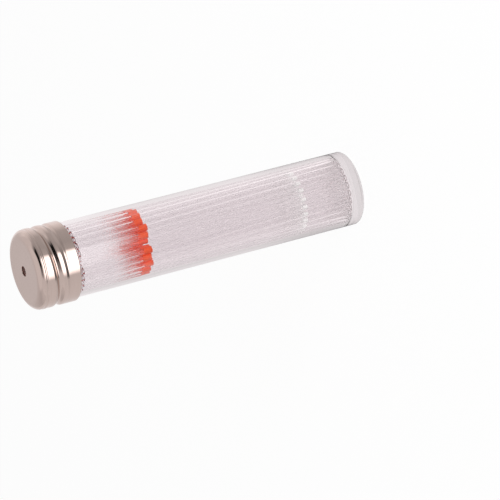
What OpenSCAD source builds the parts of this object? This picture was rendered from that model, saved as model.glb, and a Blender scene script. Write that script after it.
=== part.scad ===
// Glass vial with a screw cap that holds a bundle of glass capillary tubes.
// A hole in the cap lets the tubes out one at a time.
// It stands on its closed base: z = 0 is the base and +Z runs up the axis to the cap.
// Millimetres throughout.

/* [Capillary tubes] */
// Length of one tube
tube_l = 75; // [60:1:100]
// Outer diameter of one tube
tube_od = 1.75; // [1.45:0.05:2.1]
// Wall of one tube
tube_wall = 0.42; // [0.1:0.01:0.6]
// Distance from the foot of a tube up to its stopper
stopper_rise = 12.4; // [5:0.1:30]
// Length of the stopper in the bore
stopper_l = 1.1; // [0.8:0.1:4]

/* [Bundle] */
// Most tubes in the vial
tube_count = 56; // [1:1:56]
// Share of each ring's places that hold a tube
ring_fill = 0.95; // [0.5:0.01:0.95]
// Gap between neighbours in a ring where they crowd together
tube_gap = 0.04; // [0.04:0.01:0.1]
// Gap between one ring of tubes and the next
ring_gap = 0.4; // [0.3:0.05:1]
// Gap between the outer ring and the wall of the vial
wall_gap = 0.075; // [0.05:0.005:0.3]
// Turn of the bundle from its foot to its mouth, in degrees
bundle_twist = -22; // [-22:1:22]
// Azimuth where the outer ring opens up, in degrees
opening_az = -80; // [-180:1:180]
// Turn of that opening from each ring to the next, in degrees
opening_step = 174; // [0:1:359]
// Extra gap in each ring opposite its opening, in degrees
far_gap = 3; // [0:0.5:6]

/* [Vial] */
// Outer diameter of the body
vial_od = 19; // [17:0.5:24]
// Wall of the body
vial_wall = 0.95; // [0.7:0.05:1.3]
// Thickness of the base
base_t = 2.7; // [1.5:0.1:5]
// Rounding round the foot
foot_r = 0.5; // [0.3:0.1:1.4]
// Rounding between the floor and the wall inside
floor_r = 0.8; // [0.3:0.1:1.5]
// Step in from the body to the neck, on the radius
neck_step = 1.1; // [0.9:0.1:2]
// Wall of the neck
neck_wall = 1.2; // [0.9:0.1:1.6]
// Straight length of the neck, from the shoulder to the lip
neck_l = 8.65; // [6:0.05:12]
// Rounding of the lip
lip_r = 0.35; // [0.1:0.05:0.45]
// Room between the ends of the tubes and the inside of the shoulder
end_gap = 0.15; // [0.1:0.05:3]

/* [Cap] */
// Height of the cap, outside
cap_h = 11; // [8.5:0.1:13]
// Thickness of the sheet metal
cap_t = 0.3; // [0.2:0.05:0.4]
// Gap between the skirt and the body of the vial, on the radius
cap_gap = 0.35; // [0.3:0.05:0.8]
// Rounding between the face and the side, outside
cap_edge_r = 2.3; // [1:0.1:2.6]
// Diameter of the hole that lets one tube out
hole_d = 2.6; // [2.3:0.1:3.4]
// Distance from the face down to the first rolled groove
groove_top = 3.8; // [3.6:0.1:4.2]
// Pitch of the thread that the grooves follow
thread_pitch = 3.175; // [2.5:0.025:3.5]
// Number of grooves down the side
groove_count = 2; // [1:1:2]
// Depth of a groove
groove_depth = 0.6; // [0.2:0.05:0.8]
// Radius of the round bottom of a groove
groove_r = 1.0; // [0.8:0.1:1.5]

/* [Cap liner] */
// Thickness of the liner
liner_t = 0.8; // [0.5:0.1:1.5]
// Diameter of the hole through the liner
liner_hole_d = 4.6; // [3.5:0.1:6]

/* [Hidden] */
$fn = 96;
seat_gap = 0.05;      // between a tube's foot and the floor it stands on
contact_gap = 0.02;   // between the lip, the liner and the cap
bore_gap = 0.01;      // between a stopper and its bore, on the radius
overcut = 1;          // how far a cut runs past the face it opens
most_crowding = 0.86; // smallest pitch of the mouths, as a share of the pitch of the feet

body_r = vial_od / 2;
bore_r = body_r - vial_wall;
neck_r = body_r - neck_step;
mouth_r = neck_r - neck_wall;
floor_z = base_t;

tube_bore = tube_od - 2 * tube_wall;

// Rings of tubes, counted inwards from the wall.
touch = (tube_od + tube_gap) / 2;
outer_ring_r = bore_r - wall_gap - tube_od / 2;
ring_count = 1 + floor(outer_ring_r / (tube_od + ring_gap));
function ring_r(k) = outer_ring_r - k * (tube_od + ring_gap);
function closest_pitch(k) = ring_r(k) > touch ? 2 * asin(touch / ring_r(k)) : 360;
function ring_places(k) = floor(360 / closest_pitch(k));
function tubes_before(k) = k == 0 ? 0 : tubes_before(k - 1) + ring_tubes(k - 1);
function ring_tubes(k) =
    min(max(1, floor(ring_fill * 360 / closest_pitch(k))), ring_places(k), tube_count - tubes_before(k));

// Each tube is [ring, number in the ring].
tubes = [for (k = [0 : ring_count - 1]) for (i = [0 : 1 : ring_tubes(k) - 1]) [k, i]];

// The feet share out the ring evenly. The mouths crowd to its closest pitch in two halves,
// so the tubes lean a little and the ring opens in a wedge.
function steps_from_middle(t) = t[1] - (ring_tubes(t[0]) - 1) / 2;
function ring_middle_az(t) = opening_az + 180 + t[0] * opening_step;
function foot_az(t) = ring_middle_az(t) + steps_from_middle(t) * 360 / ring_tubes(t[0]);
function mouth_pitch(k) = max(closest_pitch(k), most_crowding * 360 / ring_tubes(k));
function spare(k) = 360 - ring_tubes(k) * mouth_pitch(k);
function mouth_az(t) =
    ring_middle_az(t) + bundle_twist + steps_from_middle(t) * mouth_pitch(t[0])
    + sign(steps_from_middle(t)) * min(far_gap, spare(t[0])) / 2;
function on_ring(t, az) = ring_r(t[0]) * [cos(az), sin(az)];
function drift(t) = on_ring(t, mouth_az(t)) - on_ring(t, foot_az(t));
function lean(t) = asin(norm(drift(t)) / tube_l);
function lean_az(t) = atan2(drift(t)[1], drift(t)[0]);

// A tube near the wall stands on the rounding, the others on the flat floor.
function floor_rise(r) =
    r > bore_r - floor_r ? floor_r - sqrt(pow(floor_r, 2) - pow(r - bore_r + floor_r, 2)) : 0;
function foot_z(t) =
    floor_z + floor_rise(ring_r(t[0]) + tube_od / 2) + tube_od / 2 * sin(lean(t)) + seat_gap;

tube_top_z = floor_z + floor_rise(outer_ring_r + tube_od / 2) + tube_l;
inner_shoulder_z = tube_top_z + end_gap;
shoulder_z = inner_shoulder_z + vial_wall;
lip_z = shoulder_z + neck_step + neck_l;

liner_z = lip_z + contact_gap;
face_z = liner_z + liner_t + contact_gap + cap_t;
skirt_z = face_z - cap_h;
cap_r = body_r + cap_gap + cap_t;
cap_bore_r = cap_r - cap_t;
liner_r = cap_bore_r - (cap_edge_r - cap_t);

function two_digits(n) = str(n < 10 ? "0" : "", n);
function tube_name(j) = str("capillary_", two_digits(j + 1));

// Half outline from the axis out to r and from z0 up to z1, with a rounded outer corner
// at the bottom and at the top.
module rounded_outline(r, z0, z1, bottom_r, top_r) {
    difference() {
        translate([0, z0])
            square([r, z1 - z0]);
        if (bottom_r > 0)
            translate([r, z0])
                corner_cut(bottom_r);
        if (top_r > 0)
            translate([r, z1])
                mirror([0, 1])
                    corner_cut(top_r);
    }
}

// What rounding takes off the lower outer corner of an outline, with the corner at the origin.
module corner_cut(corner_r) {
    difference() {
        translate([-corner_r, -overcut])
            square([corner_r + overcut, corner_r + overcut]);
        translate([-corner_r, corner_r])
            circle(r = corner_r);
    }
}

// Stands the children where a tube stands, leaning as it leans.
module along_tube(t) {
    foot = on_ring(t, foot_az(t));
    translate([foot[0], foot[1], foot_z(t)])
        rotate([0, lean(t), lean_az(t)])
            children();
}

module vial() {
    color([0.86, 0.86, 0.90, 0.45])
        rotate_extrude()
            difference() {
                union() {
                    rounded_outline(body_r, 0, shoulder_z + neck_step, foot_r, neck_step);
                    rounded_outline(neck_r, shoulder_z, lip_z, 0, lip_r);
                }
                rounded_outline(
                    bore_r, floor_z, inner_shoulder_z + bore_r - mouth_r, floor_r, bore_r - mouth_r
                );
                translate([0, inner_shoulder_z])
                    square([mouth_r, lip_z - inner_shoulder_z + overcut]);
            }
}

module cap() {
    color([0.78, 0.72, 0.69])
        rotate_extrude()
            difference() {
                cap_outline(cap_r, skirt_z, face_z, cap_edge_r, groove_r);
                cap_outline(
                    cap_bore_r, skirt_z - overcut, face_z - cap_t, cap_edge_r - cap_t, groove_r + cap_t
                );
                translate([0, skirt_z])
                    square([hole_d / 2, cap_h + overcut]);
            }
}

// Outline of one surface of the cap. Both surfaces share the centres of the grooves,
// so the sheet keeps its thickness round them.
module cap_outline(r, z0, z1, edge_r, cut_r) {
    difference() {
        rounded_outline(r, z0, z1, 0, edge_r);
        for (i = [0 : groove_count - 1])
            translate([cap_r - groove_depth + groove_r, face_z - groove_top - i * thread_pitch])
                circle(r = cut_r);
    }
}

module cap_liner() {
    color([0.30, 0.15, 0.11])
        translate([0, 0, liner_z])
            difference() {
                cylinder(h = liner_t, r = liner_r);
                translate([0, 0, -overcut])
                    cylinder(h = liner_t + 2 * overcut, d = liner_hole_d);
            }
}

module capillary(t) {
    color([0.90, 0.89, 0.92, 0.6])
        along_tube(t)
            difference() {
                cylinder(h = tube_l, d = tube_od);
                translate([0, 0, -overcut])
                    cylinder(h = tube_l + 2 * overcut, d = tube_bore);
            }
}

module stoppers() {
    color([0.96, 0.96, 0.94])
        for (t = tubes)
            along_tube(t)
                translate([0, 0, stopper_rise])
                    cylinder(h = stopper_l, r = tube_bore / 2 - bore_gap);
}

vial();
cap();
cap_liner();
stoppers();
for (j = [0 : len(tubes) - 1])
    capillary(tubes[j]);
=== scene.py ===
import bmesh
import bpy
from math import atan2, cos, degrees, hypot, pi, radians, sin
from mathutils import Matrix, Vector


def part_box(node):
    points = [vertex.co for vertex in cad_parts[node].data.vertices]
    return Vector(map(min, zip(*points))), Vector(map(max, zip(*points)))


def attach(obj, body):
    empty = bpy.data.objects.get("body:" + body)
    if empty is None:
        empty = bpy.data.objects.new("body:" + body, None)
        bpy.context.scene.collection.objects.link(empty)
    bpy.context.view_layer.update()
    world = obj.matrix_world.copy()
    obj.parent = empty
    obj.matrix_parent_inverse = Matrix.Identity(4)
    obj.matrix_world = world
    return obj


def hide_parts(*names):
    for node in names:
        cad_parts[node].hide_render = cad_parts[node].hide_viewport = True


# A glass vial with a screw cap, full of glass capillary tubes. It stands on its closed base,
# and +Z runs up its axis to the cap. Blender's unit is the metre, and sizes are in MM.

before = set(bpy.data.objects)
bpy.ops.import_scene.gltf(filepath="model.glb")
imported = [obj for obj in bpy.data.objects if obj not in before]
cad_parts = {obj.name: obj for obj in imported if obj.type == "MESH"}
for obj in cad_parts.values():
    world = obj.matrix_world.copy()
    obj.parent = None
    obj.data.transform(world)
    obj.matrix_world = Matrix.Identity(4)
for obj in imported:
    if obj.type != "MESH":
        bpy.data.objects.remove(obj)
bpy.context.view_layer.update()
MM = 0.001

# ---------------------------------------------------------------- sizes

BODY_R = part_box("vial")[1].x
LIP_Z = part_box("vial")[1].z
FACE_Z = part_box("cap")[1].z
SKIRT_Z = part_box("cap")[0].z
CAP_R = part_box("cap")[1].x

# Vial
WALL = 0.95 * MM
BASE_THICKNESS = 2.7 * MM
FOOT_ROUNDING = 0.5 * MM
FLOOR_ROUNDING = 0.8 * MM
NECK_R = BODY_R - 1.1 * MM
MOUTH_R = NECK_R - 1.2 * MM
NECK_LENGTH = 8.65 * MM
NECK_FOOT_ROUNDING = 0.15 * MM
LIP_ROUNDING = 0.35 * MM
MOUTH_FOOT_ROUNDING = 0.12 * MM
SHOULDER_SHARE = 0.8         # of the step in to the neck that the outer rounding takes
INNER_SHOULDER_SHARE = 0.85  # of the step in to the mouth that the inner rounding takes
VIAL_STEPS = 192

# Cap
SHEET = 0.3 * MM
CAP_ROUNDING = 2.3 * MM
HOLE_R = 1.3 * MM
HOLE_ROUNDING = 0.1 * MM
SKIRT_TUCK = 0.25 * MM
TUCK_ROOM = 1.01  # the skirt's edge runs this much further in than its rounding
SATIN_BELOW_FACE = (0.5 * MM, 0.05 * MM)  # where the face's satin finish begins and is full
CAP_STEPS = 240
SIDE_STEP = 0.13 * MM

# The cap's side dips a little in a band over its thread. The depth is measured down from the face.
BAND_DEPTH = 2.05 * MM
BAND_WIDTH = 0.8 * MM
BAND_DIP = 0.15 * MM
SIDE_REACH = 0.5 * MM  # how far inside the cap's radius a place still counts as its side

# Rolled thread of the cap, right-handed. It fades in and out over turns counted from its start.
PITCH = 3.175 * MM
START_DEPTH = 1.9 * MM
START_AZIMUTH = -90
FADE_IN = (0.25, 0.92)
FADE_OUT = (1.55, 2.07)
GROOVE_DEPTH = 0.6 * MM
GROOVE_NARROWNESS = 2

# Thread on the neck. It is half a turn on, so it fits between the turns of the cap's groove.
RIDGE_HEIGHT = 0.95 * MM
RIDGE_TURNS_ON = 0.5
RIDGE_NARROWNESS = 1

# Capillary tubes
TUBE_R = 0.875 * MM
TUBE_BORE_R = 0.455 * MM
TUBE_END_ROUNDING = 0.06 * MM
TUBE_STEPS = 48
MOUTH_DROP = 0.3 * MM
ENAMEL_FROM_MOUTH = (16.4 * MM, 18.6 * MM)
ENAMEL_SHIFT = 0.3 * MM
ENAMEL_SHIFT_TURN = 2.4  # radians from one tube to the next, so that neighbours differ

# How many glass walls bend the light before it goes straight on.
BENDING_WALLS = 24.5

SAME_PLACE = 1e-7  # points closer than this are one
ON_NECK = 0.01 * MM  # how near to the neck's radius a place has to be to count as on it
ON_OUTSIDE = 0.98  # share of a tube's radius past which a face is on its outside


# ---------------------------------------------------------------- mesh helpers

def outline(points, closed=False):
    """A wire from point to point in the XZ plane. Each point is (r, z, rounding)."""
    bm = bmesh.new()
    verts = [bm.verts.new((r, 0, z)) for r, z, rounding in points]
    for pair in zip(verts, verts[1:]):
        bm.edges.new(pair)
    if closed:
        bm.edges.new((verts[-1], verts[0]))
    return bm


def vert_at(bm, r, z):
    """The vertex of the wire that is nearest to r and z."""
    return min(bm.verts, key=lambda vert: hypot(vert.co.x - r, vert.co.z - z))


def round_corners(bm, points, segments=6):
    """Rounds each corner of the wire by its own radius. A long straight beside a corner gets a
    vertex just past the rounding, which keeps the rest of it straight."""
    long_straight, past_rounding = 3, 1.3
    for r, z, rounding in points:
        if rounding:
            corner = vert_at(bm, r, z)
            for edge in list(corner.link_edges):
                length = edge.calc_length()
                if length > long_straight * rounding:
                    bmesh.utils.edge_split(edge, corner, past_rounding * rounding / length)
            bmesh.ops.bevel(
                bm, geom=[vert_at(bm, r, z)], offset=rounding, offset_type="OFFSET",
                affect="VERTICES", segments=segments, profile=0.5, material=-1,
            )


def cut_side(bm, r, step):
    """Cuts the straight upright side at radius r into short edges."""
    for edge in list(bm.edges):
        upright = all(abs(vert.co.x - r) < SAME_PLACE for vert in edge.verts)
        if upright and edge.calc_length() > step:
            bmesh.ops.subdivide_edges(bm, edges=[edge], cuts=int(edge.calc_length() / step))


def spin_round(bm, steps):
    """Spins everything once round the Z axis and closes the seam and the poles."""
    bmesh.ops.spin(
        bm, geom=bm.verts[:] + bm.edges[:], cent=(0, 0, 0), axis=(0, 0, 1), dvec=(0, 0, 0),
        angle=2 * pi, steps=steps, use_merge=True, use_duplicate=False,
    )
    bmesh.ops.remove_doubles(bm, verts=bm.verts, dist=SAME_PLACE)
    bmesh.ops.recalc_face_normals(bm, faces=bm.faces)


def distance_out(place):
    """Distance from the Z axis."""
    return hypot(place.x, place.y)


def move_out(vert, distance):
    """Moves a vertex away from the Z axis."""
    r = distance_out(vert.co)
    vert.co.x *= (r + distance) / r
    vert.co.y *= (r + distance) / r


def make_object(name, bm, materials):
    """Makes the object of a finished mesh."""
    mesh = bpy.data.meshes.new(name)
    bm.to_mesh(mesh)
    bm.free()
    for material in materials:
        mesh.materials.append(material)
    made = bpy.data.objects.new(name, mesh)
    bpy.context.scene.collection.objects.link(made)
    return made


def finish_piece(name, bm, body, nodes, materials):
    """Makes a smooth piece, hangs it on the body it rides on, and hides the CAD parts it stands
    for.
    """
    piece = make_object(name, bm, materials)
    piece.data.shade_smooth()
    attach(piece, body)
    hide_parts(*nodes)


# ---------------------------------------------------------------- node helpers

def add(tree, kind, **settings):
    """Adds a node. Each setting is an input's value or one of the node's own settings."""
    node = tree.nodes.new(kind)
    for key, value in settings.items():
        if key in node.inputs:
            node.inputs[key].default_value = value
        else:
            setattr(node, key, value)
    return node


def new_material(name):
    """A node material, its tree and its Principled shader."""
    material = bpy.data.materials.new(name)
    material.use_nodes = True
    tree = material.node_tree
    return material, tree, tree.nodes["Principled BSDF"]


def object_coordinates(tree):
    """The place in the piece, which is its place in the frame."""
    return add(tree, "ShaderNodeTexCoord").outputs["Object"]


def split(tree, vector):
    """A node with the X, Y and Z of a vector."""
    separate = add(tree, "ShaderNodeSeparateXYZ")
    tree.links.new(vector, separate.inputs["Vector"])
    return separate


def noise(tree, scale, detail=4, stretch=(1, 1, 1)):
    """Noise on Object coordinates. A stretch under 1 draws it out along that axis."""
    coordinates = object_coordinates(tree)
    mapping = add(tree, "ShaderNodeMapping")
    mapping.inputs["Scale"].default_value = stretch
    node = add(tree, "ShaderNodeTexNoise", Scale=scale, Detail=detail, Roughness=0.55)
    tree.links.new(coordinates, mapping.inputs["Vector"])
    tree.links.new(mapping.outputs["Vector"], node.inputs["Vector"])
    return node.outputs["Fac"]


def ranged(tree, source, low, high):
    """Maps a 0 to 1 socket onto low to high."""
    node = add(tree, "ShaderNodeMapRange")
    node.inputs["To Min"].default_value = low
    node.inputs["To Max"].default_value = high
    tree.links.new(source, node.inputs["Value"])
    return node.outputs["Result"]


def stepped(tree, value, low, high):
    """0 below low, 1 above high, and smooth between."""
    node = add(tree, "ShaderNodeMapRange", interpolation_type="SMOOTHSTEP")
    node.inputs["From Min"].default_value = low
    node.inputs["From Max"].default_value = high
    tree.links.new(value, node.inputs["Value"])
    return node.outputs["Result"]


def blended(tree, share, first, second):
    """first where share is 0 and second where it is 1. Either may be a number."""
    node = add(tree, "ShaderNodeMix")
    tree.links.new(share, node.inputs["Factor"])
    for socket, value in (("A", first), ("B", second)):
        if isinstance(value, (int, float)):
            node.inputs[socket].default_value = value
        else:
            tree.links.new(value, node.inputs[socket])
    return node.outputs["Result"]


def blended_colour(tree, share, first, second):
    """The first colour where share is 0 and the second where it is 1."""
    node = add(tree, "ShaderNodeMix", data_type="RGBA")
    node.inputs["A"].default_value = (*first, 1)
    node.inputs["B"].default_value = (*second, 1)
    tree.links.new(share, node.inputs["Factor"])
    return node.outputs["Result"]


def blended_shader(tree, share, first, second):
    """Gives the material's surface the first shader where share is 0, the second where it is 1."""
    mix = add(tree, "ShaderNodeMixShader")
    tree.links.new(share, mix.inputs["Fac"])
    tree.links.new(first, mix.inputs[1])
    tree.links.new(second, mix.inputs[2])
    tree.links.new(mix.outputs["Shader"], tree.nodes["Material Output"].inputs["Surface"])


def any_of(tree, first, second):
    """1 where either of two 0 to 1 sockets is."""
    node = add(tree, "ShaderNodeMath", operation="MAXIMUM")
    tree.links.new(first, node.inputs[0])
    tree.links.new(second, node.inputs[1])
    return node.outputs[0]


def times(tree, value, factor):
    """A socket times a plain number."""
    node = add(tree, "ShaderNodeMath", operation="MULTIPLY")
    node.inputs[1].default_value = factor
    tree.links.new(value, node.inputs[0])
    return node.outputs[0]


def coloured(tree, shader, share, first, second):
    """Blends the shader's own colour from the first to the second."""
    tree.links.new(blended_colour(tree, share, first, second), shader.inputs["Base Color"])


def bumped(tree, source, shader, strength, distance):
    """Raises the surface by source, for the light only."""
    bump = add(tree, "ShaderNodeBump", Strength=strength, Distance=distance)
    tree.links.new(source, bump.inputs["Height"])
    tree.links.new(bump.outputs["Normal"], shader.inputs["Normal"])


def let_light_on(tree, shader, tint, bending_walls=None):
    """Lets shadow and diffuse rays through, so that what stands in the glass is lit. Light that
    has come through bending_walls walls goes straight on too."""
    path = add(tree, "ShaderNodeLightPath")
    straight = any_of(tree, path.outputs["Is Shadow Ray"], path.outputs["Is Diffuse Ray"])
    if bending_walls:
        deep = add(tree, "ShaderNodeMath", operation="GREATER_THAN")
        deep.inputs[1].default_value = bending_walls
        tree.links.new(path.outputs["Transmission Depth"], deep.inputs[0])
        straight = any_of(tree, straight, deep.outputs[0])
    clear = add(tree, "ShaderNodeBsdfTransparent", Color=(*tint, 1))
    blended_shader(tree, straight, shader.outputs["BSDF"], clear.outputs["BSDF"])


# ---------------------------------------------------------------- materials

def clear_glass(name, thin, thick, deep_tint, dull, clear=1):
    """Clear drawn glass. Its tint and its polish change a little along the draw, from thin to
    thick and from no roughness to dull. deep_tint is for light that goes straight through."""
    material, tree, shader = new_material(name)
    shader.inputs["Transmission Weight"].default_value = clear
    shader.inputs["IOR"].default_value = 1.5
    drawn = noise(tree, scale=300, detail=2, stretch=(1, 1, 0.03))
    coloured(tree, shader, drawn, thin, thick)
    smears = noise(tree, scale=120, detail=3, stretch=(1, 1, 0.4))
    tree.links.new(ranged(tree, smears, 0, dull), shader.inputs["Roughness"])
    let_light_on(tree, shader, deep_tint, BENDING_WALLS)
    return material


def nickel_plate():
    """Nickel plate on thin sheet, satin on the face and brighter on the side: fine grain, faint
    roll marks round the side."""
    material, tree, shader = new_material("nickel_plate")
    shader.inputs["Metallic"].default_value = 1
    grain = noise(tree, scale=2600, detail=3)
    rolled = noise(tree, scale=90, stretch=(1, 1, 40))
    coloured(tree, shader, rolled, (0.545, 0.452, 0.408), (0.60, 0.50, 0.452))
    height = split(tree, object_coordinates(tree)).outputs["Z"]
    on_face = stepped(tree, height, *(FACE_Z - depth for depth in SATIN_BELOW_FACE))
    polished = ranged(tree, grain, 0.06, 0.12)
    satin = ranged(tree, grain, 0.16, 0.26)
    tree.links.new(blended(tree, on_face, polished, satin), shader.inputs["Roughness"])
    bumped(tree, grain, shader, strength=0.12, distance=0.01 * MM)
    return material


def orange_enamel():
    """Glossy orange colour fired on the glass, a little uneven."""
    material, tree, shader = new_material("orange_enamel")
    mottle = noise(tree, scale=1500, detail=3)
    coloured(tree, shader, mottle, (0.62, 0.036, 0.002), (0.90, 0.095, 0.004))
    shader.inputs["Roughness"].default_value = 0.25
    shader.inputs["Specular IOR Level"].default_value = 0.15
    bumped(tree, mottle, shader, strength=0.1, distance=0.02 * MM)
    let_light_on(tree, shader, (1, 0.3, 0.15))
    return material


def porous_white():
    """Matt white porous plug."""
    material, tree, shader = new_material("porous_white")
    pores = noise(tree, scale=6000, detail=2)
    coloured(tree, shader, pores, (0.86, 0.85, 0.83), (0.95, 0.95, 0.94))
    shader.inputs["Roughness"].default_value = 0.8
    bumped(tree, pores, shader, strength=0.3, distance=0.03 * MM)
    return material


def liner_rubber():
    """Matt red-brown rubber sheet with a fine grain."""
    material, tree, shader = new_material("red_brown_rubber")
    grain = noise(tree, scale=4000)
    coloured(tree, shader, grain, (0.36, 0.19, 0.16), (0.5, 0.29, 0.25))
    shader.inputs["Roughness"].default_value = 0.7
    bumped(tree, grain, shader, strength=0.3, distance=0.02 * MM)
    return material


# ---------------------------------------------------------------- vial and cap

def smooth_step(low, high, x):
    """0 below low, 1 above high, and smooth between."""
    t = min(max((x - low) / (high - low), 0), 1)
    return t * t * (3 - 2 * t)


def thread_wave(x, y, z, turns_on, narrowness):
    """How deep the thread is at a place, from 0 on the land to 1 in the groove. turns_on moves
    the wave along the helix, and a higher narrowness gives a narrower groove."""
    azimuth = degrees(atan2(y, x))
    turned = (START_AZIMUTH - azimuth + 180) % 360 - 180
    turns = (FACE_Z - START_DEPTH - z) / PITCH
    strength = smooth_step(*FADE_IN, turns) * (1 - smooth_step(*FADE_OUT, turns))
    return strength * (0.5 + 0.5 * cos(2 * pi * (turns - turned / 360 + turns_on))) ** narrowness


def make_vial(glass):
    """The glass body. Its outline is spun round, and the thread is raised on its neck."""
    shoulder_z = LIP_Z - NECK_LENGTH
    neck_step = BODY_R - NECK_R
    bore_r = BODY_R - WALL
    mouth_step = bore_r - MOUTH_R
    inner_shoulder_z = shoulder_z - neck_step - WALL + mouth_step
    points = [
        (0, 0, 0),
        (BODY_R, 0, FOOT_ROUNDING),
        (BODY_R, shoulder_z, SHOULDER_SHARE * neck_step),
        (NECK_R, shoulder_z, NECK_FOOT_ROUNDING),
        (NECK_R, LIP_Z, LIP_ROUNDING),
        (MOUTH_R, LIP_Z, LIP_ROUNDING),
        (MOUTH_R, inner_shoulder_z, MOUTH_FOOT_ROUNDING),
        (bore_r, inner_shoulder_z, INNER_SHOULDER_SHARE * mouth_step),
        (bore_r, BASE_THICKNESS, FLOOR_ROUNDING),
        (0, BASE_THICKNESS, 0),
    ]
    bm = outline(points)
    round_corners(bm, points)
    cut_side(bm, NECK_R, 2 * SIDE_STEP)
    spin_round(bm, VIAL_STEPS)
    for vert in bm.verts:
        if abs(distance_out(vert.co) - NECK_R) < ON_NECK:
            ridge = thread_wave(*vert.co, RIDGE_TURNS_ON, RIDGE_NARROWNESS)
            move_out(vert, RIDGE_HEIGHT * ridge)
    finish_piece("vial_glass_body", bm, "vial", ["vial"], [glass])


def make_cap(metal):
    """The cap. Its outline is spun round, dipped and grooved, and then given its thickness."""
    points = [
        (HOLE_R, FACE_Z - SHEET / 2, 0),
        (HOLE_R, FACE_Z, HOLE_ROUNDING),
        (CAP_R, FACE_Z, CAP_ROUNDING),
        (CAP_R, SKIRT_Z, SKIRT_TUCK),
        (CAP_R - SKIRT_TUCK * TUCK_ROOM, SKIRT_Z, 0),
    ]
    bm = outline(points)
    round_corners(bm, points, segments=24)
    cut_side(bm, CAP_R, SIDE_STEP)
    spin_round(bm, CAP_STEPS)
    for vert in bm.verts:
        on_side = distance_out(vert.co) > CAP_R - SIDE_REACH
        if on_side and vert.co.z > SKIRT_Z + SKIRT_TUCK:
            from_band = abs(FACE_Z - BAND_DEPTH - vert.co.z) / BAND_WIDTH
            dip = BAND_DIP * (1 - smooth_step(0, 1, 2 * from_band))
            groove = GROOVE_DEPTH * thread_wave(*vert.co, 0, GROOVE_NARROWNESS)
            move_out(vert, -dip - groove)
    bmesh.ops.recalc_face_normals(bm, faces=bm.faces)
    bmesh.ops.solidify(bm, geom=bm.faces[:], thickness=SHEET)
    finish_piece("screw_cap", bm, "cap", ["cap"], [metal])


# ---------------------------------------------------------------- tubes

def tube_ends(node):
    """Centres of a tube's foot and mouth."""
    corners = {tuple(round(c, 7) for c in v.co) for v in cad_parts[node].data.vertices}
    lowest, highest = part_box(node)
    middle_z = (lowest.z + highest.z) / 2
    foot = [Vector(c) for c in corners if c[2] < middle_z]
    mouth = [Vector(c) for c in corners if c[2] > middle_z]
    return sum(foot, Vector()) / len(foot), sum(mouth, Vector()) / len(mouth)


def make_tube(node, glass, enamel, painted_end_glow):
    """One tube. It is made upright, painted by its own height, and then stood in its place."""
    foot, mouth = tube_ends(node)
    length = (mouth - foot).length - MOUTH_DROP
    shift = ENAMEL_SHIFT * sin(ENAMEL_SHIFT_TURN * int(node[-2:]))
    enamel_low, enamel_high = (length - depth + shift for depth in reversed(ENAMEL_FROM_MOUTH))
    points = [
        (TUBE_BORE_R, length, TUBE_END_ROUNDING),
        (TUBE_BORE_R, 0, TUBE_END_ROUNDING),
        (TUBE_R, 0, TUBE_END_ROUNDING),
        (TUBE_R, enamel_low, 0),
        (TUBE_R, enamel_high, 0),
        (TUBE_R, length, TUBE_END_ROUNDING),
    ]
    bm = outline(points, closed=True)
    round_corners(bm, points, segments=2)
    spin_round(bm, TUBE_STEPS)
    materials = [glass, enamel, painted_end_glow]
    end_face = 0.01 * TUBE_END_ROUNDING
    for face in bm.faces:
        centre = face.calc_center_median()
        outside = distance_out(centre) > ON_OUTSIDE * TUBE_R
        if outside and enamel_low < centre.z < enamel_high:
            face.material_index = materials.index(enamel)
        # The end faces get the painted pink glow of the band's light.
        elif not end_face < centre.z < length - end_face:
            face.material_index = materials.index(painted_end_glow)
    stand = (mouth - foot).to_track_quat("Z", "Y").to_matrix().to_4x4()
    bmesh.ops.transform(bm, matrix=Matrix.Translation(foot) @ stand, verts=bm.verts)
    finish_piece(node + "_glass", bm, "vial", [node], materials)


# ---------------------------------------------------------------- make the pieces

body_glass = clear_glass(
    "vial_clear_glass", thin=(0.985, 0.965, 0.97), thick=(0.975, 0.955, 0.96),
    deep_tint=(0.99, 0.985, 0.988), dull=0.02,
)
tube_glass = clear_glass(
    "tube_clear_glass", thin=(0.99, 0.986, 0.988), thick=(0.98, 0.974, 0.977),
    deep_tint=(0.992, 0.99, 0.991), dull=0,
)
# The tubes' end faces are tinted pink: a painted glow that stands in for the orange band's light
# running along the glass to the ends.
painted_band_glow = clear_glass(
    "tube_end_painted_band_glow", thin=(0.97, 0.5, 0.48), thick=(0.94, 0.42, 0.4),
    deep_tint=(0.98, 0.88, 0.88), dull=0.05, clear=0.88,
)
band_enamel = orange_enamel()
make_vial(body_glass)
make_cap(nickel_plate())
for tube_node in sorted(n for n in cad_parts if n.startswith("capillary_")):
    make_tube(tube_node, tube_glass, band_enamel, painted_band_glow)
for cad_node, material in (("stoppers", porous_white()), ("cap_liner", liner_rubber())):
    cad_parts[cad_node].data.materials.clear()
    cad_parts[cad_node].data.materials.append(material)


# ---------------------------------------------------------------- surroundings

# What glass and metal see round them, as (azimuth in degrees, brightness) pairs. This is painted
# light and shade that shows only in their reflections and through the glass: bright patches for
# the highlights and dark ones for the shade.
ROUND_THE_GLASS = (
    (-180, 1.35), (-176, 1.35), (-167, 0.68), (-140, 0.66), (-118, 0.64), (-104, 1.15),
    (-84, 1.15), (-66, 0.64), (-12, 0.64), (-3, 1.45), (5, 1.45), (15, 0.9), (75, 0.84),
    (105, 0.76), (133, 0.66), (170, 0.68), (176, 1.35),
)
BELOW_THE_GROOVES = (
    (-180, 0.8), (-146, 0.75), (-136, 0.1), (-118, 0.1), (-108, 0.22), (-66, 0.3), (-26, 0.6),
    (180, 0.8),
)
ROUND_THE_CAP = (
    (-180, 0.9), (-134, 0.85), (-114, 3.6), (-74, 3.6), (-62, 0.6), (-40, 0.5), (0, 0.6),
    (20, 0.95), (40, 1.2), (70, 1.1), (110, 0.9),
)
ABOVE_THE_FLOOR = (
    (-180, 0.9), (-134, 0.85), (-114, 1.6), (-76, 1.6), (-66, 0.5), (-40, 0.45), (-10, 0.6),
    (20, 0.95), (40, 1.1), (65, 0.82), (110, 0.76), (145, 0.66), (170, 0.8),
)
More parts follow.
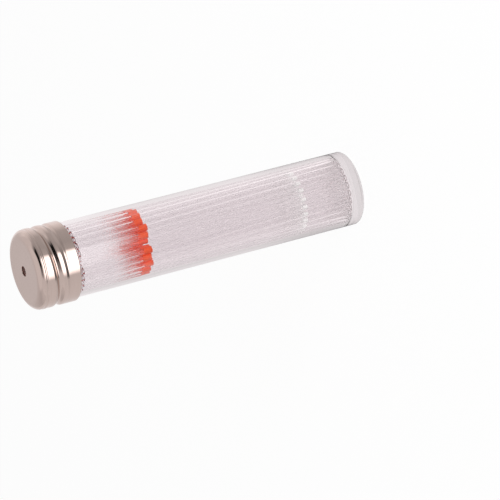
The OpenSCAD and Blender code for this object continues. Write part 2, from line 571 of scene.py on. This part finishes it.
HIGHER_UP = (
    (-180, 0.9), (-134, 0.85), (-118, 0.35), (-98, 0.2), (-88, 0.01), (-34, 0.01), (-18, 0.5),
    (0, 0.9), (60, 0.85), (110, 0.76), (145, 0.66), (170, 0.8),
)
BRIGHTEST = 6  # more than any brightness above

# Brightness of the floor near the foot, and how far from the axis each part gives way to the next.
# Through the glass it shows a painted shadow round the foot, darkest under the base's edge. In
# reflections it shows a painted shade close to the foot. Glass and metal see different rings
# further out.
UNDER_THE_BASE = 0.9
PAINTED_SHADOW_UNDER_THE_EDGE = 0.3
PAINTED_SHADOW_ROUND_THE_FOOT = 0.76
PAINTED_SHADE_CLOSE_TO_THE_FOOT = 0.2
BASE_TO_EDGE = (9.2 * MM, 9.8 * MM)
EDGE_TO_FOOT = (10.3 * MM, 10.9 * MM)
FOOT_TO_GLASS_RING = (12 * MM, 20 * MM)
FOOT_TO_GROOVE_RING = (30 * MM, 80 * MM)
GROOVE_RING_TO_CAP_RING = (150 * MM, 210 * MM)

# Brightness of the world for diffuse surfaces, through glass, and overhead in metal, and how
# high, from 0 level to 1 overhead, each ring above gives way to the next in metal.
SKY_LIGHT = 0.55
SKY_THROUGH_GLASS = 0.82
OVERHEAD = 0.93
LEVEL_TO_LOW = (0.06, 0.16)
LOW_TO_HIGH = (0.42, 0.54)
HIGH_TO_OVERHEAD = (0.78, 0.86)

WHITE = (1, 1, 1)
WARM_WHITE = (1, 0.95, 0.96)
FLOOR_COLOUR = (0.95, 0.95, 0.95)
FLOOR_GLOW = 0.92  # share of the floor that shows its own brightness in place of its shading
FLOOR_GAP = 0.02 * MM  # how far it lies below the foot
FLOOR_REACH = 6        # from its middle to each side, in metres


def by_azimuth(tree, separate, stops):
    """Brightness by the azimuth of the place or direction that separate splits."""
    angle = add(tree, "ShaderNodeMath", operation="ARCTAN2")
    tree.links.new(separate.outputs["Y"], angle.inputs[0])
    tree.links.new(separate.outputs["X"], angle.inputs[1])
    share = add(tree, "ShaderNodeMapRange")
    share.inputs["From Min"].default_value = -pi
    share.inputs["From Max"].default_value = pi
    tree.links.new(angle.outputs[0], share.inputs["Value"])
    ramp = add(tree, "ShaderNodeValToRGB")
    elements = ramp.color_ramp.elements
    while len(elements) < len(stops):
        elements.new(0.5)
    for element, (azimuth, brightness) in zip(elements, stops):
        element.position = (azimuth + 180) / 360
        element.color = (*[brightness / BRIGHTEST] * 3, 1)
    tree.links.new(share.outputs["Result"], ramp.inputs["Fac"])
    return times(tree, ramp.outputs["Color"], BRIGHTEST)


def warmed(tree, path):
    """White to the camera and to diffuse surfaces, and a little warm in glass and metal."""
    plain = any_of(tree, path.outputs["Is Camera Ray"], path.outputs["Is Diffuse Ray"])
    return blended_colour(tree, plain, WARM_WHITE, WHITE)


def make_floor():
    """A white floor that keeps the shadow, with the surroundings that glass and metal see: painted
    light and shade that shows only in them.
    """
    bm = bmesh.new()
    bmesh.ops.create_grid(bm, x_segments=1, y_segments=1, size=FLOOR_REACH)
    bmesh.ops.translate(bm, vec=(0, 0, -FLOOR_GAP), verts=bm.verts)
    material, tree, shader = new_material("white_floor")
    shader.inputs["Base Color"].default_value = (*FLOOR_COLOUR, 1)
    shader.inputs["Roughness"].default_value = 1
    shader.inputs["Specular IOR Level"].default_value = 0
    coordinates = object_coordinates(tree)
    separate = split(tree, coordinates)
    length = add(tree, "ShaderNodeVectorMath", operation="LENGTH")
    tree.links.new(coordinates, length.inputs[0])
    distance = length.outputs["Value"]
    # Painted shadow round the foot, which shows only through the glass and is darkest under the
    # base's edge.
    foot = blended(tree, stepped(tree, distance, *BASE_TO_EDGE), UNDER_THE_BASE, PAINTED_SHADOW_UNDER_THE_EDGE)
    foot = blended(tree, stepped(tree, distance, *EDGE_TO_FOOT), foot, PAINTED_SHADOW_ROUND_THE_FOOT)
    ring = by_azimuth(tree, separate, ROUND_THE_GLASS)
    through_glass = blended(tree, stepped(tree, distance, *FOOT_TO_GLASS_RING), foot, ring)
    ring = by_azimuth(tree, separate, BELOW_THE_GROOVES)
    close_by = stepped(tree, distance, *FOOT_TO_GROOVE_RING)
    # Painted shade on the floor close to the foot, which shows only in reflections such as the
    # cap's grooves.
    mirrored = blended(tree, close_by, PAINTED_SHADE_CLOSE_TO_THE_FOOT, ring)
    ring = by_azimuth(tree, separate, ROUND_THE_CAP)
    mirrored = blended(tree, stepped(tree, distance, *GROOVE_RING_TO_CAP_RING), mirrored, ring)
    path = add(tree, "ShaderNodeLightPath")
    to_camera, in_glass = path.outputs["Is Camera Ray"], path.outputs["Is Transmission Ray"]
    surroundings = blended(tree, in_glass, mirrored, through_glass)
    glow = add(tree, "ShaderNodeEmission")
    tree.links.new(blended(tree, to_camera, surroundings, 1), glow.inputs["Strength"])
    tree.links.new(warmed(tree, path), glow.inputs["Color"])
    seen = any_of(tree, to_camera, any_of(tree, path.outputs["Is Glossy Ray"], in_glass))
    share = times(tree, seen, FLOOR_GLOW)
    blended_shader(tree, share, shader.outputs["BSDF"], glow.outputs["Emission"])
    make_object("floor", bm, [material])


def make_world():
    """White to the camera, plain light for diffuse surfaces, a pale grey through glass, and the
    surroundings for metal: painted light and shade that shows only in its reflections."""
    world = bpy.data.worlds.new("studio")
    bpy.context.scene.world = world
    world.use_nodes = True
    tree = world.node_tree
    direction = split(tree, add(tree, "ShaderNodeTexCoord").outputs["Generated"])
    height = direction.outputs["Z"]
    surroundings = by_azimuth(tree, direction, ROUND_THE_CAP)
    for heights, stops in ((LEVEL_TO_LOW, ABOVE_THE_FLOOR), (LOW_TO_HIGH, HIGHER_UP)):
        ring = by_azimuth(tree, direction, stops)
        surroundings = blended(tree, stepped(tree, height, *heights), surroundings, ring)
    overhead = stepped(tree, height, *HIGH_TO_OVERHEAD)
    surroundings = blended(tree, overhead, surroundings, OVERHEAD)
    path = add(tree, "ShaderNodeLightPath")
    plain = blended(tree, path.outputs["Is Diffuse Ray"], 1, SKY_LIGHT)
    mirrored = blended(tree, path.outputs["Is Glossy Ray"], plain, surroundings)
    # A ray that glass bends counts as glossy too, so what shows through glass comes last.
    strength = blended(tree, path.outputs["Is Transmission Ray"], mirrored, SKY_THROUGH_GLASS)
    tree.links.new(strength, tree.nodes["Background"].inputs["Strength"])
    tree.links.new(warmed(tree, path), tree.nodes["Background"].inputs["Color"])


# ---------------------------------------------------------------- lamp and camera

def make_lamp(name, place, target, width, height, power):
    """A soft lamp that doesn't itself show to the camera, in metal or through glass."""
    light = bpy.data.lights.new(name, "AREA")
    light.shape = "RECTANGLE"
    light.size = width
    light.size_y = height
    light.energy = power
    lamp = bpy.data.objects.new(name, light)
    bpy.context.scene.collection.objects.link(lamp)
    lamp.location = place
    lamp.rotation_euler = (Vector(target) - Vector(place)).to_track_quat("-Z", "Y").to_euler()
    lamp.visible_camera = False
    lamp.visible_glossy = False
    lamp.visible_transmission = False


def make_camera(target, azimuth, elevation, roll, distance, lens):
    """A camera that looks at target from the given side. Angles are in degrees."""
    camera = bpy.data.objects.new("camera", bpy.data.cameras.new("camera"))
    bpy.context.scene.collection.objects.link(camera)
    azimuth, elevation = radians(azimuth), radians(elevation)
    level = cos(elevation)
    outward = Vector((level * cos(azimuth), level * sin(azimuth), sin(elevation)))
    camera.location = target + distance * outward
    look = (-outward).to_track_quat("-Z", "Y").to_matrix()
    camera.rotation_euler = (look @ Matrix.Rotation(radians(roll), 3, "Z")).to_euler()
    camera.data.lens = lens
    camera.data.sensor_width = 36
    camera.data.clip_start = 0.01
    bpy.context.scene.camera = camera


make_floor()
make_world()
make_camera(
    target=Vector((-9.12, -5.47, 32.84)) * MM, azimuth=-90.715, elevation=23.598,
    roll=-104.799, distance=798 * MM, lens=230.1,
)
make_lamp(
    "key", place=(0.15, -0.5, 0.55), target=(0, 0, 0.05), width=0.35, height=0.35, power=2.8,
)

# Light crosses many walls of glass on its way through the bundle.
GLASS_BOUNCES = 64
METAL_BOUNCES = 12
scene = bpy.context.scene
scene.view_settings.view_transform = "Standard"
scene.cycles.max_bounces = GLASS_BOUNCES
scene.cycles.transmission_bounces = GLASS_BOUNCES
scene.cycles.transparent_max_bounces = GLASS_BOUNCES
scene.cycles.glossy_bounces = METAL_BOUNCES
